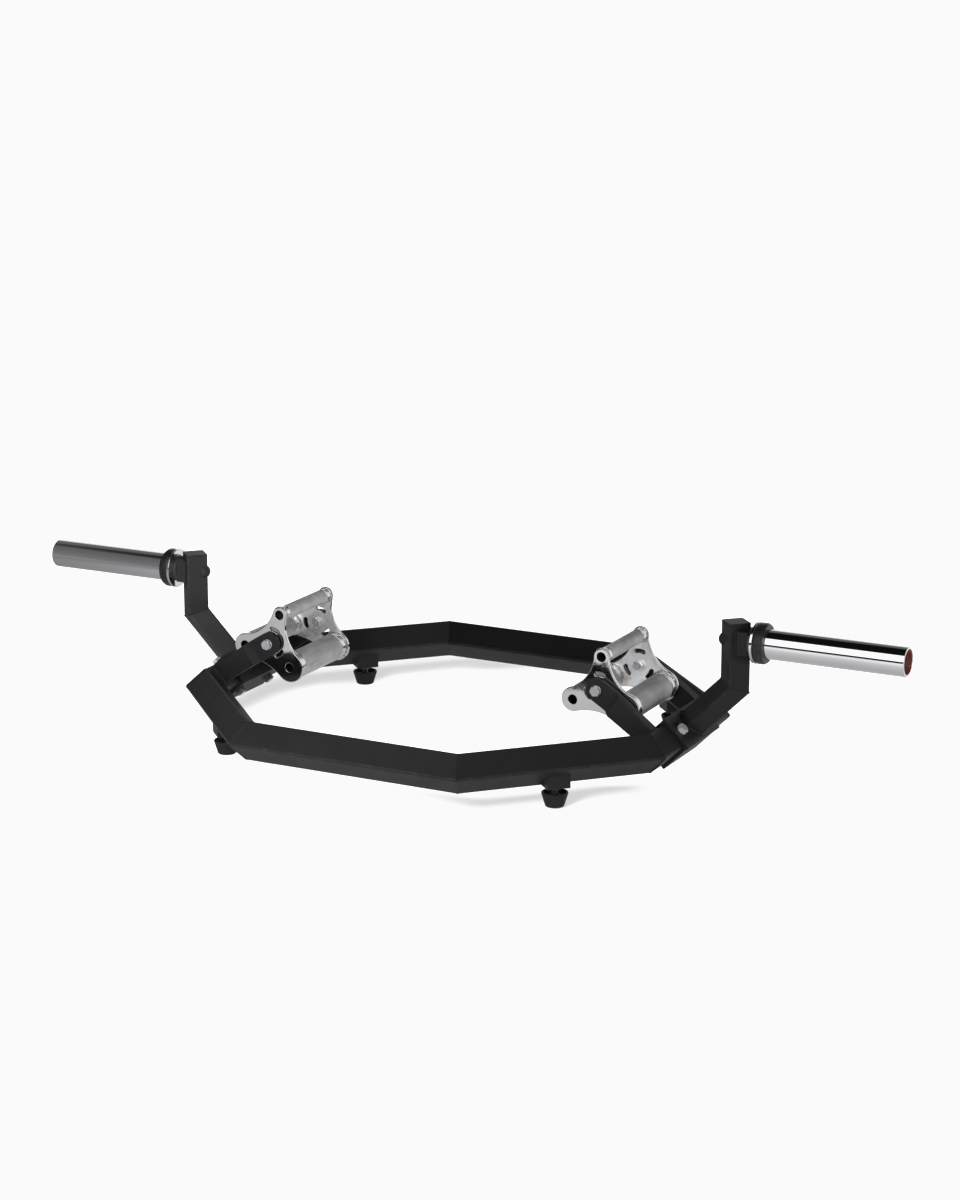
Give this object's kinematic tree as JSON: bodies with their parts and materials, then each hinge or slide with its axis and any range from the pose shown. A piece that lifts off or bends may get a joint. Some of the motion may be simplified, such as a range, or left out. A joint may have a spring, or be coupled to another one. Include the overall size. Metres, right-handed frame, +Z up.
{
  "type": "hex trap bar",
  "caption": "Closed-ring trap bar of square tube on rubber feet, with raised turning weight sleeves and swivelling handle cassettes that carry grips of different thickness.",
  "frame": {"origin": "on the floor, under the middle of the ring", "axes": "+X along the sleeves to the right end of the picture, +Y away from the camera to the rear rail, +Z up"},
  "size_m": [1.645, 0.7964, 0.2831],
  "materials": {
    "black_coat": "satin black powder coat",
    "plate_chrome": "polished chrome plate",
    "sleeve_chrome": "polished chrome sleeve",
    "grip_steel": "fine knurl with plain ends, satin chrome",
    "collar_black": "matte black",
    "foot_rubber": "moulded matte rubber",
    "zinc": "bright zinc plate",
    "bronze": "plain sintered bronze",
    "spring_steel": "dark oiled steel",
    "black_nylon": "plain black nylon"
  },
  "bodies": {
    "frame": {"foot_brackets": "black_coat", "foot_nuts": "zinc", "foot_studs": "zinc", "front_left_arm": "black_coat", "front_left_rail": "black_coat", "front_rail": "black_coat", "front_right_arm": "black_coat", "front_right_rail": "black_coat", "left_axle": "black_coat", "left_end_beam": "black_coat", "left_lower_saddle": "black_coat", "left_mount_block": "black_coat", "left_retaining_ring": "spring_steel", "left_riser_cap": "black_coat", "left_riser_post": "black_coat", "left_riser_strut": "black_coat", "left_upper_saddle": "black_coat", "pivot_bolts": "zinc", "pivot_nuts": "zinc", "pivot_washers": "zinc", "rear_left_arm": "black_coat", "rear_left_rail": "black_coat", "rear_rail": "black_coat", "rear_right_arm": "black_coat", "rear_right_rail": "black_coat", "right_axle": "black_coat", "right_end_beam": "black_coat", "right_lower_saddle": "black_coat", "right_mount_block": "black_coat", "right_retaining_ring": "spring_steel", "right_riser_cap": "black_coat", "right_riser_post": "black_coat", "right_riser_strut": "black_coat", "right_upper_saddle": "black_coat", "rubber_feet": "foot_rubber", "saddle_bolts": "zinc", "saddle_nuts": "zinc", "saddle_washers": "zinc", "thrust_washers": "black_nylon"},
    "right_sleeve": {"right_collar_ring": "collar_black", "right_sleeve_bushes": "bronze", "right_sleeve_flange": "sleeve_chrome", "right_sleeve_tube": "sleeve_chrome"},
    "left_sleeve": {"left_collar_ring": "collar_black", "left_sleeve_bushes": "bronze", "left_sleeve_flange": "sleeve_chrome", "left_sleeve_tube": "sleeve_chrome"},
    "right_cassette": {"right_front_plate": "plate_chrome", "right_medium_grip": "grip_steel", "right_pivot_bushes": "bronze", "right_rear_plate": "plate_chrome", "right_thick_grip": "grip_steel", "right_thin_grip": "grip_steel"},
    "left_cassette": {"left_front_plate": "plate_chrome", "left_medium_grip": "grip_steel", "left_pivot_bushes": "bronze", "left_rear_plate": "plate_chrome", "left_thick_grip": "grip_steel", "left_thin_grip": "grip_steel"}
  },
  "joints": [
    {"name": "right_sleeve_spin", "type": "hinge", "parent": "frame", "child": "right_sleeve", "pos_m": [0.7025, 0, 0.2481], "axis": [1, 0, 0], "continuous": true},
    {"name": "left_sleeve_spin", "type": "hinge", "parent": "frame", "child": "left_sleeve", "pos_m": [-0.7025, 0, 0.2481], "axis": [1, 0, 0], "continuous": true},
    {"name": "right_cassette_turn", "type": "hinge", "parent": "frame", "child": "right_cassette", "pos_m": [0.3174, 0, 0.1586], "axis": [0, 1, 0], "continuous": true},
    {"name": "left_cassette_turn", "type": "hinge", "parent": "frame", "child": "left_cassette", "pos_m": [-0.3174, 0, 0.1586], "axis": [0, 1, 0], "continuous": true}
  ]
}
